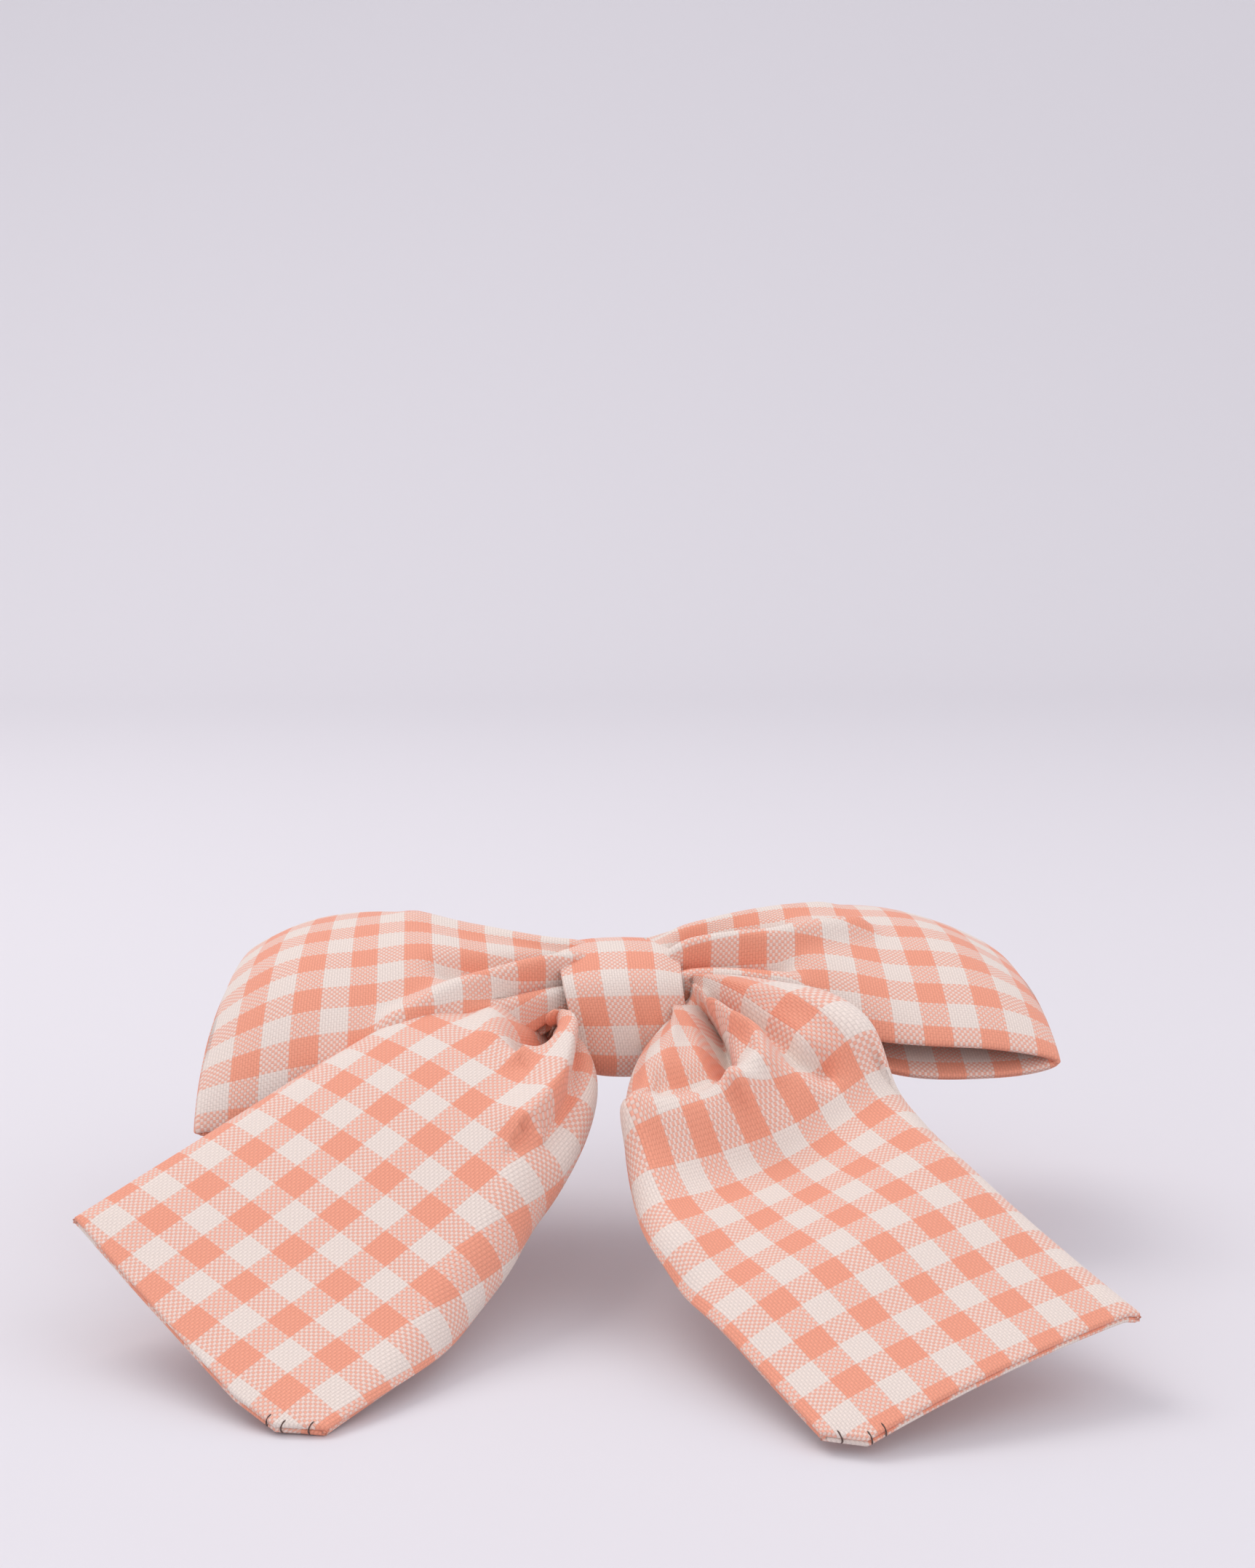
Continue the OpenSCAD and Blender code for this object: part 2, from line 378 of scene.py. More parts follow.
@dataclass(frozen=True)
class Gingham:
    """Yarn-dyed plain weave in even checks, in millimetres on the cloth."""

    name: str = "gingham_cloth"
    check: float = 5.0
    yarn: float = 0.5
    peach: tuple[float, float, float, float] = (0.84, 0.325, 0.212, 1)
    peach_fuzz: tuple[float, float, float, float] = (0.89, 0.365, 0.245, 1)
    cream: tuple[float, float, float, float] = (0.80, 0.68, 0.61, 1)
    cream_fuzz: tuple[float, float, float, float] = (0.86, 0.74, 0.67, 1)
    stray: float = 0.25
    relief: float = 0.00016
    contrast: float = 0.55

    def material(self) -> bpy.types.Material:
        """Builds the cloth's material.

        Returns:
            The material.
        """
        n = Nodes(self.name)
        place = n.add("UVMap", uv_map=CLOTH_MAP).outputs[0]
        split = n.add("SeparateXYZ")
        n.link(place, split.inputs[0])
        u, v = split.outputs[0], split.outputs[1]
        wander = n.noise(place, 0.35, 3.0)
        wander = n.math("SUBTRACT", wander, 0.5)
        u = n.math("ADD", u, n.math("MULTIPLY", wander, self.stray))
        warp_dyed = self._stripe(n, u)
        weft_dyed = self._stripe(n, v)
        warp_pos = n.math("DIVIDE", u, self.yarn)
        weft_pos = n.math("DIVIDE", v, self.yarn)
        over = self._over(n, warp_pos, weft_pos)
        dyed = n.add("Mix", data_type="FLOAT")
        n.link(over, dyed.inputs[0])
        n.link(weft_dyed, dyed.inputs[2])
        n.link(warp_dyed, dyed.inputs[3])
        both = n.math("ADD", warp_dyed, weft_dyed)
        blend = n.math("MULTIPLY", both, 0.5 * (1 - self.contrast))
        dyed = n.math("MULTIPLY_ADD", dyed.outputs[0], self.contrast, blend)
        fuzz = n.noise(place, 2.4, 4.0)
        peach = n.mix(fuzz, self.peach_fuzz, self.peach)
        cream = n.mix(fuzz, self.cream_fuzz, self.cream)
        colour = n.mix(dyed, cream, peach)
        height = self._relief(n, warp_pos, weft_pos, over)
        # Painted shade: the cloth colour is darkened where the woven yarns lie low,
        # standing in for the shade in the hollows between the yarns.
        shade = n.math("MULTIPLY_ADD", height, 0.30, 0.76)
        dark = n.add("CombineColor")
        for i in range(3):
            n.link(shade, dark.inputs[i])
        shaded = n.mix(0.75, colour, dark.outputs[0], "MULTIPLY")
        n.link(shaded, n.shader.inputs["Base Color"])
        bump = n.add("Bump")
        bump.inputs["Strength"].default_value = 0.55
        bump.inputs["Distance"].default_value = self.relief
        n.link(height, bump.inputs["Height"])
        n.link(bump.outputs[0], n.shader.inputs["Normal"])
        rough = n.math("MULTIPLY_ADD", fuzz, 0.12, 0.66)
        n.link(rough, n.shader.inputs["Roughness"])
        n.shader.inputs["Specular IOR Level"].default_value = 0.28
        n.shader.inputs["Sheen Weight"].default_value = 0.22
        n.shader.inputs["Sheen Roughness"].default_value = 0.45
        n.shader.inputs["Sheen Tint"].default_value = (1.0, 0.93, 0.88, 1)
        return n.material

    def _stripe(self, n: Nodes, at: object) -> bpy.types.NodeSocket:
        """1 where the yarns at this place are dyed, 0 where they are cream."""
        part = n.math("FRACT", n.math("DIVIDE", at, 2 * self.check))
        return n.math("LESS_THAN", part, 0.5)

    @staticmethod
    def _over(n: Nodes, warp: object, weft: object) -> bpy.types.NodeSocket:
        """Says where the warp lies over the weft in a plain weave.

        Args:
            n: The material being built.
            warp: Place across the warp, in yarns.
            weft: Place across the weft, in yarns.

        Returns:
            1 where the warp is on top, 0 where the weft is.
        """
        across = n.math("SINE", n.math("MULTIPLY", warp, math.pi))
        along = n.math("SINE", n.math("MULTIPLY", weft, math.pi))
        product = n.math("MULTIPLY", across, along)
        warp_lead = -0.06
        return n.math("GREATER_THAN", product, warp_lead)

    @staticmethod
    def _relief(
        n: Nodes, warp: object, weft: object, over: object
    ) -> bpy.types.NodeSocket:
        """Finds the height of the woven yarns.

        Args:
            n: The material being built.
            warp: Place across the warp, in yarns.
            weft: Place across the weft, in yarns.
            over: 1 where the warp is on top.

        Returns:
            The height, from 0 to 1.
        """
        across = n.math("ABSOLUTE", n.math("SINE", n.math("MULTIPLY", warp, math.pi)))
        along = n.math("ABSOLUTE", n.math("SINE", n.math("MULTIPLY", weft, math.pi)))
        on_top = n.math("POWER", across, 0.6)
        below = n.math("MULTIPLY", n.math("POWER", along, 0.6), 0.72)
        made = n.add("Mix", data_type="FLOAT")
        n.link(over, made.inputs[0])
        n.link(below, made.inputs[2])
        n.link(on_top, made.inputs[3])
        return made.outputs[0]


@dataclass(frozen=True)
class Metal:
    """Drawn steel with fine lines along X and soft cloudy patches of duller colour."""

    name: str
    colour: tuple[float, float, float, float]
    roughness: float
    grain: float = 900.0

    def material(self) -> bpy.types.Material:
        """Builds the metal's material.

        Returns:
            The material.
        """
        n = Nodes(self.name)
        place = n.add("TexCoord").outputs["Object"]
        stretch = n.add("Mapping")
        stretch.inputs["Scale"].default_value = (0.04, 1.0, 1.0)
        n.link(place, stretch.inputs[0])
        lines = n.noise(stretch.outputs[0], self.grain, 5.0)
        cloud = n.noise(place, 60.0, 3.0)
        dull = tuple(c * 0.72 for c in self.colour[:3]) + (1,)
        n.link(n.mix(cloud, dull, self.colour), n.shader.inputs["Base Color"])
        n.shader.inputs["Metallic"].default_value = 1.0
        n.link(
            n.math("MULTIPLY_ADD", lines, 0.22, self.roughness - 0.1),
            n.shader.inputs["Roughness"],
        )
        bump = n.add("Bump")
        bump.inputs["Strength"].default_value = 0.12
        bump.inputs["Distance"].default_value = 0.00004
        n.link(lines, bump.inputs["Height"])
        n.link(bump.outputs[0], n.shader.inputs["Normal"])
        return n.material


@dataclass(frozen=True)
class Thread:
    """Twisted sewing thread."""

    name: str
    colour: tuple[float, float, float, float]

    def material(self) -> bpy.types.Material:
        """Builds the thread's material.

        Returns:
            The material.
        """
        n = Nodes(self.name)
        place = n.add("TexCoord").outputs["Object"]
        twist = n.add("TexWave", bands_direction="DIAGONAL")
        n.link(place, twist.inputs["Vector"])
        twist.inputs["Scale"].default_value = 1400.0
        twist.inputs["Distortion"].default_value = 1.5
        # Painted shade: the colour darkens in diagonal bands along the twist, standing in
        # for the shade in the grooves between the plies.
        dark = tuple(c * 0.6 for c in self.colour[:3]) + (1,)
        n.link(n.mix(twist.outputs[1], dark, self.colour), n.shader.inputs["Base Color"])
        n.shader.inputs["Roughness"].default_value = 0.7
        n.shader.inputs["Sheen Weight"].default_value = 0.2
        bump = n.add("Bump")
        bump.inputs["Strength"].default_value = 0.4
        bump.inputs["Distance"].default_value = 0.00006
        n.link(twist.outputs[1], bump.inputs["Height"])
        n.link(bump.outputs[0], n.shader.inputs["Normal"])
        return n.material


class Ply(Enum):
    """Which ply of a two-ply strip."""

    FRONT = 1
    BACK = -1


# ---- creases and tails ----


@dataclass(frozen=True)
class Fold:
    """A crease in gathered cloth: raised when its height is above 0, sunk when below."""

    line: list[tuple[float, float]]
    height: float
    inner: float
    outer: float

    def lift(self, x: Grid, y: Grid) -> Grid:
        """Height that the crease adds.

        Args:
            x: Place across the cloth, towards the inner side.
            y: Place along the cloth.

        Returns:
            The added height.
        """
        best = np.full(x.shape, np.inf)
        aside = np.zeros_like(x)
        for (ax, ay), (bx, by) in zip(self.line[:-1], self.line[1:]):
            run = np.array([bx - ax, by - ay])
            share = np.clip(((x - ax) * run[0] + (y - ay) * run[1]) / (run @ run), 0, 1)
            dx, dy = x - ax - share * run[0], y - ay - share * run[1]
            far = np.hypot(dx, dy)
            near = far < best
            best = np.where(near, far, best)
            inward = run[0] * dy - run[1] * dx
            aside = np.where(near, np.sign(inward), aside)
        climb = np.sign(self.line[-1][1] - self.line[0][1])
        wide = np.where(aside * climb < 0, self.inner, self.outer)
        return self.height * np.exp(-((best / wide) ** 2))


@dataclass
class Tail:
    """One tail: two plies seamed at the edges, draped, gathered into the knot."""

    name: str
    place: tuple[float, float, float]
    turn: tuple[float, float, float]
    side: int
    length: float
    reach: float
    # place along the tail: heights of the outer side, the middle and the inner side
    lie: list[tuple[float, ...]]
    # place along the tail: where the outer side turns down and by how many degrees,
    # then the same for the inner side
    tuck: list[tuple[float, ...]]
    # place across the tail: x, y and z of the bundle under the knot
    neck: list[tuple[float, ...]]
    folds: list[Fold]
    gather_from: tuple[float, float]
    warp_at: float
    weft_at: float
    width: float = 59.0
    roll: float = 0.5
    loft: float = 1.3
    slant: float = 8.0
    blunt: tuple[float, float] = (6.0, 4.5)
    bend: float = 5.0
    early: float = 20.0
    off_centre: float = 0.0
    sewn: tuple[float, ...] = (2.0, 5.2, 7.6)
    # the closing stitches are coloured dark brown, much darker than the cream threads
    # elsewhere on the bow
    closing: Thread = Thread("closing_thread", (0.13, 0.07, 0.055, 1))
    closing_radius: float = 0.13
    # how far along the cloth the back ply is cut from the front one
    back_cut: tuple[float, float] = (1.7, 3.1)
    scale: float = 1.0
    thick: float = 0.3

    def matrix(self) -> Grid:
        """Finds the rotation from the tail's own frame to the bow's.

        Returns:
            The rotation, three by three.
        """
        rx, ry, rz = (math.radians(a) for a in self.turn)
        spin = (
            Matrix.Rotation(rz, 3, "Z")
            @ Matrix.Rotation(ry, 3, "Y")
            @ Matrix.Rotation(rx, 3, "X")
        )
        return np.array(spin)

    def flat(self, x: Grid, y: Grid) -> Grid:
        """The draped but ungathered cloth.

        Args:
            x: Place across the tail, 0 in its middle.
            y: Place along the tail.

        Returns:
            Points in the bow's frame.
        """
        lie = through(self.lie, y)
        outer, mid, inner = lie[..., 0], lie[..., 1], lie[..., 2]
        across = x * self.side / (self.width / 2)
        z = mid + (inner - outer) / 2 * across + ((inner + outer) / 2 - mid) * across**2
        tuck = through(self.tuck, y)
        start = np.where(across < 0, tuck[..., 0], tuck[..., 2])
        angle = np.radians(np.where(across < 0, tuck[..., 1], tuck[..., 3]))
        beyond = np.maximum(np.abs(x) - start, 0)
        turned = np.minimum(beyond / self.bend, angle)
        hang = beyond - turned * self.bend
        z = z - self.bend * (1 - np.cos(turned)) - hang * np.sin(angle)
        lean = self.bend * np.sin(turned) + hang * np.cos(angle)
        x = np.sign(x) * (np.minimum(np.abs(x), start) + lean)
        local = np.stack([x, y, z], -1)
        return local @ self.matrix().T + np.array(self.place)

    def middle(self, x: Grid, y: Grid) -> Grid:
        """The surface midway between the two plies.

        Args:
            x: Place across the tail, 0 in its middle.
            y: Place along the tail.

        Returns:
            Points in the bow's frame.
        """
        open_cloth = self.flat(x, y)
        bundle = through(self.neck, x * self.side)
        low, high = self.gather_from
        low = low - self.early * x * self.side / self.width
        share = ease(y, low, high)[..., None]
        return open_cloth * (1 - share) + bundle * share

    def stand(self, x: Grid, y: Grid) -> tuple[Grid, Grid]:
        """Finds the middle surface and which way it faces.

        Args:
            x: Place across the tail, 0 in its middle.
            y: Place along the tail.

        Returns:
            Points in the bow's frame, and the unit normals there.
        """
        mid = self.middle(x, y)
        normal = np.cross(
            self.middle(x + NUDGE, y) - mid, self.middle(x, y + NUDGE) - mid
        )
        normal /= np.maximum(np.linalg.norm(normal, axis=-1, keepdims=True), 1e-9)
        return mid, normal

    def creases(self, x: Grid, y: Grid) -> Grid:
        """How far the folds lift the cloth.

        Args:
            x: Place across the tail, 0 in its middle.
            y: Place along the tail.

        Returns:
            The lift along the surface's normal.
        """
        lift = np.zeros_like(x)
        for fold in self.folds:
            lift = lift + fold.lift(x * self.side, y)
        return lift * (1 - ease(y, self.gather_from[1] - 8, self.gather_from[1]))

    def end_line(self, x: Grid) -> Grid:
        """Draws the tail's end: slightly slanted, with one blunt corner.

        Args:
            x: Place across the tail.

        Returns:
            How far the end lies from a square cut.
        """
        half = self.width / 2
        inward = x * self.side + half - self.off_centre
        wide, tall = self.blunt
        line = -self.slant * np.clip(inward / (self.width * 0.75), 0, 1)
        return line + tall * np.clip((inward - self.width + wide) / wide, 0, 1)

    def ply(self, ply: Ply, material: bpy.types.Material) -> bpy.types.Object:
        """Builds one ply.

        Args:
            ply: Front or back.
            material: The cloth.

        Returns:
            The piece.
        """
        extra = (math.pi - 1) * self.roll
        wide = self.width + 2 * extra
        long = self.length + extra
        s = dense_ends(150, wide, 3.2, 0.12)
        t = dense_ends(210, long, 3.2, 0.08)
        t, s = np.meshgrid(t, s, indexing="ij")
        inset, height = lip(np.minimum(s, wide - s), self.roll)
        shift_x = self.off_centre * self.side
        x = np.where(s < wide / 2, inset, self.width - inset) - self.width / 2 + shift_x
        run, rise = lip(t, self.roll)
        height = np.minimum(height, rise)
        shift = self.end_line(x) * (1 - ease(t, 4, 40))
        y = run - self.reach + shift
        away = np.minimum(np.minimum(s, wide - s), t)
        puff = self.loft * (1 - np.exp(-np.maximum(away - 1.5, 0) / 7.0))
        close = 1 - 0.75 * ease(y, *self.gather_from)
        mid, normal = self.stand(x, y)
        off = ply.value * (height + puff) * close + self.creases(x, y)
        points = mid + normal * off[..., None]
        cloth_x = s - extra - self.width / 2 + shift_x
        cloth_y = t - extra - self.reach + shift
        uv = np.stack([cloth_x - self.warp_at, cloth_y - self.weft_at], -1) / self.scale
        if ply is Ply.BACK:
            uv = uv + np.array(self.back_cut)
            points, uv = points[:, ::-1], uv[:, ::-1]
        name = f"{self.name}_{ply.name.lower()}_cloth"
        piece = Cloth.sheet(name, points, uv, self.thick)
        tie(piece, f"{self.name}_{ply.name.lower()}_ply", material)
        return piece

    def stitches(self, thread: bpy.types.Material) -> bpy.types.Object:
        """Sews the stitches that close the turning gap at the blunt corner.

        Args:
            thread: The thread's material.

        Returns:
            The piece.
        """
        corner = self.width / 2 + self.off_centre
        count = 15
        swing = np.linspace(-1, 1, count) * math.pi / 2
        span = 2 * self.roll + 0.12
        paths = []
        for inward in self.sewn:
            x = np.full(count, (corner - inward) * self.side)
            y = self.end_line(x) - self.reach + 2 * self.roll - span * np.cos(swing)
            mid, normal = self.stand(x, y)
            paths.append(mid + normal * (span * np.sin(swing))[:, None])
        name = f"{self.name}_closing_thread"
        piece = Cloth.threads(name, paths, self.closing_radius)
        tie(piece, f"{self.name}_stitches", thread)
        return piece

    def build(self, cloth: bpy.types.Material) -> list[bpy.types.Object]:
        """Builds both plies and their stitches and ties them to the frame.

        Args:
            cloth: The cloth's material.

        Returns:
            The pieces.
        """
        made = [self.stitches(self.closing.material())]
        for ply in Ply:
            piece = self.ply(ply, cloth)
            made.append(piece)
        return made


# ---- the loops ----


@dataclass
class Loops:
    """One strip of two plies, folded at both outer ends and pinched in the middle."""

    reach: float = 74.5
    end_shift: float = -1.6
    roll: float = 0.42
    thick: float = 0.3
    strip: float = 60.0
    # flat cut in metres, and where it starts on the cloth
    flat: tuple[float, float] = (0.0615, 0.302)
    cut_at: tuple[float, float] = (1.0, 2.0)
    # the winding: its distance from the strip, its radius and its turns along X
    hug: float = 1.1
    winding_radius: float = 0.22
    winds: tuple[float, ...] = (-3.2, -2.4, -1.6, 1.6, 2.4, 3.2)
    thread: Thread = Thread("winding_thread", (0.80, 0.72, 0.64, 1))
    # place along the strip: front edge y, z; rear edge y, z; bulge
    run: list[tuple[float, ...]] = field(
        default_factory=lambda: [
            (-78, -26, -7.5, 15, 14.5, 5.0),
            (-62, -26, -8.0, 20, 17.4, 9.2),
            (-45, -25, -6.0, 21, 17.6, 9.4),
            (-28, -20, 0.0, 14, 16.4, 7.2),
            (-12, -12.5, 8.0, 3, 16.5, 4.0),
            (0, -12, 9.0, 2, 16.5, 3.0),
            (12, -12, 9.5, 4, 18.5, 5.0),
            (28, -20, 6.0, 15, 17.0, 6.6),
            (45, -27, 2.5, 22, 15.2, 7.2),
            (62, -28, 1.5, 22, 12.8, 6.6),
            (78, -27, 0.8, 15, 9, 4.0),
        ]
    )

    # pleats that run out from the knot, by place along the strip and across it
    folds: list[Fold] = field(
        default_factory=lambda: [
            Fold([(-8, 25), (-14, 23), (-22, 20), (-31, 16.5), (-42, 12)], 3.0, 3.4, 3.4),
            Fold([(-8, 33), (-14, 31), (-24, 28), (-33, 25)], -2.8, 3.6, 3.6),
            Fold([(-8, 14), (-14, 14.5), (-22, 15)], -2.2, 2.8, 2.8),
            Fold([(-8, 4), (-13, 6), (-22, 9.5), (-31, 11)], 1.6, 3.0, 3.0),
            Fold([(-8, 45), (-20, 46), (-38, 48)], 1.5, 4.5, 4.5),
            Fold([(8, 24), (17, 23.5), (25, 23), (33, 26), (41, 30)], 2.8, 3.2, 3.2),
            Fold([(8, 16), (16, 15.5), (25, 15)], -2.8, 3.4, 3.4),
            Fold([(8, 7), (16, 7), (26, 8)], 1.8, 3.4, 3.4),
            Fold([(8, 33), (18, 33), (27, 34)], -2.0, 3.6, 3.6),
            Fold([(8, 44), (20, 45), (36, 46)], 1.5, 4.5, 4.5),
        ]
    )

    def section(self, x: Grid, q: Grid, layer: Grid) -> Grid:
        """A point on the strip's middle surface.

        Args:
            x: Place along the bow.
            q: 0 at the front edge, 1 at the rear edge.
            layer: 1 on the front layer, -1 on the back layer.

        Returns:
            Points in the bow's frame.
        """
        v = through(self.run, x)
        front, rear, bulge = v[..., 0:2], v[..., 2:4], v[..., 4]
        chord = rear - front
        size = np.linalg.norm(chord, axis=-1)
        up = np.stack([-chord[..., 1], chord[..., 0]], -1) / size[..., None]
        crown = (4 * q * (1 - q)) ** 0.8
        away = np.abs(x) / self.run[-1][0]
        lift = bulge * crown
        for fold in self.folds:
            lift = lift + fold.lift(x, q * self.strip) * ease(np.abs(x), 3, 11)
        wave = 0.5 * np.sin(x * 0.21 + 5 * q) * ease(np.abs(x), 20, 40) * crown
        end = self.reach
        close = np.sqrt(np.clip(1 - (np.abs(x - self.end_shift) / end) ** 6, 0, 1))
        open_mid = 3.6 * ease(np.abs(x), 10, 42) * crown
        side = np.where(x > 0, 2.3, 0.9)
        open_edge = side * ease(np.abs(x), 14, 50) * (1 - crown) * ridge(away, 0.72, 0.4)
        half = (open_mid + open_edge + 1.1) * close
        off = lift + wave * layer + half * layer
        off = off - np.where(layer > 0, 0.0, 0.35 * bulge * crown * close)
        base = front + chord * q[..., None] + up * off[..., None]
        short = np.where(x > 0, 0.03, 0.11) * ease(np.abs(x), 25, 76) * q**1.5
        return np.concatenate([(x * (1 - short))[..., None], base], -1)

    def ring(self) -> tuple[Grid, Grid, Grid]:
        """Stations round the closed strip.

        Returns:
            Place along the bow, layer and cloth length for each station.
        """
        turn = np.linspace(0, 1, 191)
        swing = np.sin((turn - 0.5) * math.pi)
        x = self.end_shift + self.reach * (0.35 * (2 * turn - 1) + 0.65 * swing)
        low, high = x[0], x[-1]
        half = len(x) // 2
        stations = (
            (x[half::-1], -1.0, 2 * low - x[half::-1]),
            (x[1:-1], 1.0, x[1:-1]),
            (x[: half - 1 : -1], -1.0, 2 * high - x[: half - 1 : -1]),
        )
        place = np.concatenate([part[0] for part in stations])
        layer = np.concatenate([np.full(len(part[0]), part[1]) for part in stations])
        return place, layer, np.concatenate([part[2] for part in stations])

    def grid(self, outer: bool) -> tuple[Grid, Grid]:
        """Points and cloth map of one ply.

        Args:
            outer: True for the ply that shows, False for the one inside the loops.

        Returns:
            The points and the cloth map.
        """
        x, layer, length = self.ring()
        extra = (math.pi - 1) * self.roll
        wide = self.strip + 2 * extra
        s = dense_ends(120, wide, 2.6, 0.13)
        inset, height = lip(np.minimum(s, wide - s), self.roll)
        across = np.where(s < wide / 2, inset, self.strip - inset) / self.strip
        xx, qq = np.meshgrid(x, across, indexing="ij")
        ll = np.broadcast_to(layer[:, None], xx.shape)
        mid = self.section(xx, qq, ll)
        normal = -Cloth.normals(mid)
        up = height if outer else -height
        points = mid + normal * up[None, :, None]
        cloth = np.broadcast_to(length[:, None], xx.shape)
        row = np.broadcast_to((s - extra)[None], xx.shape)
        return points, np.stack([cloth, row], -1)

    def build(self, cloth: bpy.types.Material) -> list[bpy.types.Object]:
        """Builds both plies and ties them to the frame.

        Args:
            cloth: The cloth's material.

        Returns:
            The pieces.
        """
        made = []
        for name, outer, node in (
            ("loops_outer_cloth", True, "loops_outer_ply"),
            ("loops_inner_cloth", False, "loops_inner_ply"),
        ):
            points, uv = self.grid(outer)
            if outer:
                points, uv = points[:, ::-1], uv[:, ::-1]
            piece = Cloth.sheet(name, points, uv + np.array(self.cut_at), self.thick)
            tie(piece, node, cloth)
            made.append(piece)
        made.append(self.windings(self.thread.material()))
        return made

    def windings(self, thread: bpy.types.Material) -> bpy.types.Object:
        """Winds the thread that draws the middle of the strip together.

        Args:
            thread: The thread's material.

        Returns:
            The piece.
        """
        count = 24
        q = np.linspace(0.0, 1.0, count)
        paths = []
        for place in self.winds:
            x = np.full(count, place)
            top = self.section(x, q, np.ones(count))
            under = self.section(x, q, -np.ones(count))[::-1]
            chord = (under[0] - under[-1]) / np.linalg.norm(under[0] - under[-1])
            up = np.cross([1.0, 0, 0], chord)
            turn = np.linspace(0.3, 1.0, 6)[:-1, None] * math.pi
            half = (top[-1] - under[0]) / 2 + up * self.hug
            round_end = np.cos(turn) * half + np.sin(turn) * chord * 1.4
            rear = (top[-1] + under[0]) / 2 + round_end
            front = (top[0] + under[-1]) / 2 - round_end
            over = top + up * self.hug
            below = under - up * self.hug
            paths.append(np.concatenate([over, rear, below, front, over[:1]]))
        piece = Cloth.threads("gather_winding", paths, self.winding_radius)
        tie(piece, "gather_thread", thread)
        return piece


# ---- the knot ----


@dataclass
class Knot:
    """The folded strip wrapped round the pinched middle."""

    middle_x: float = -2.2
    width: float = 22.0
    roll: float = 0.4
    thick: float = 0.45
    # a place inside the band, y and z
    core: tuple[float, float] = (-5.0, 12.0)
    # where the band is cut on the cloth
    cut_at: tuple[float, float] = (7.9, 6.3)
    thread: Thread = Thread("band_thread", (0.82, 0.70, 0.62, 1))
    thread_radius: float = 0.2
    # round the knot: y and z, from the rear over the top to the front and under
    profile: list[tuple[float, ...]] = field(
        default_factory=lambda: [
            (0.0, 7.0, 9.0),
            (0.09, 7.7, 13.0),
            (0.18, 5.6, 16.6),
            (0.28, 0.5, 18.6),
            (0.38, -6.5, 18.8),
            (0.48, -12.8, 16.6),
            (0.58, -16.6, 13.4),
            (0.68, -18.2, 7.0),
            (0.77, -17.8, 1.6),
            (0.84, -15.0, -0.6),
            (0.90, -10.8, 2.6),
            (0.95, -6.4, 7.4),
            (1.0, 0.0, 8.5),
            (1.07, 5.8, 8.7),
        ]
    )

    def build(self, cloth: bpy.types.Material) -> list[bpy.types.Object]:
        """Builds the band and ties it to the frame.

        Args:
            cloth: The cloth's material.

        Returns:
            The piece, in a list.
        """
        round_it = np.linspace(0, 1, 200)
        path = through(self.profile, round_it * self.profile[-1][0])
        steps = np.linalg.norm(np.diff(path, axis=0), axis=1)
        length = np.concatenate([[0], np.cumsum(steps)])
        extra = (math.pi - 1) * self.roll
        wide = self.width + 2 * extra
        s = dense_ends(72, wide, 1.8, 0.2)
        inset, height = lip(np.minimum(s, wide - s), self.roll)
        across = np.where(s < wide / 2, inset, self.width - inset) - self.width / 2
        tangent = np.gradient(path, axis=0)
        outward = np.stack([-tangent[:, 1], tangent[:, 0]], -1)
        outward /= np.linalg.norm(outward, axis=1, keepdims=True)
        flip = np.sign(((path - np.array(self.core)) * outward).sum(1))
        outward *= np.sign(flip.sum())
        tt, xx = np.meshgrid(np.arange(len(path)), across, indexing="ij")
        share = round_it[tt]
        front = ridge(share, 0.66, 0.2)
        half = self.width / 2
        crown = 0.9 * (1 - (xx / half) ** 2)
        crease = -0.8 * ridge(xx, 1.4, 1.0) * ridge(share, 0.75, 0.17)
        hang = 1.0 * ease(-xx, -2.6, 0.4) * ridge(share, 0.80, 0.08)
        pinch = -0.6 * ridge(np.abs(xx), half, 3.0)
        off = crown + crease + hang + pinch + height[None] - 0.8
        yz = path[tt] + outward[tt] * off[..., None]
        lean = self.middle_x + 0.19 * (13 - yz[..., 1]) * front
        points = np.stack([xx * (1 - 0.06 * front) + lean, yz[..., 0], yz[..., 1]], -1)
        cloth_s = np.broadcast_to(s[None], xx.shape)
        cut_s, cut_t = self.cut_at
        uv = np.stack([cloth_s - extra + cut_s, length[tt] + cut_t], -1)
        piece = Cloth.sheet("knot_band_cloth", points[:, ::-1], uv[:, ::-1], self.thick)
        tie(piece, "knot_band", cloth)
        return [piece, self.stitches(self.thread.material())]

    def stitches(self, thread: bpy.types.Material) -> bpy.types.Object:
        """Sews the band's end down at its lower rear edge.

        Args:
            thread: The thread's material.

        Returns:
            The piece.
        """
        swing = np.linspace(0.0, 1.0, 12) * math.pi * 0.75
        paths = []
        for place in np.linspace(-7.5, 7.5, 6):
            x = place + self.middle_x + 1.2 * np.linspace(-0.5, 0.5, 12)
            y = 6.4 + 1.75 * np.cos(swing - 0.25)
            z = 9.4 - 1.75 * np.sin(swing - 0.25)
            paths.append(np.stack([x, y, z], -1))
        piece = Cloth.threads("knot_seam_thread", paths, self.thread_radius)
        tie(piece, "knot_seam_stitches", thread)
        return piece


# ---- parts kept from the frame ----


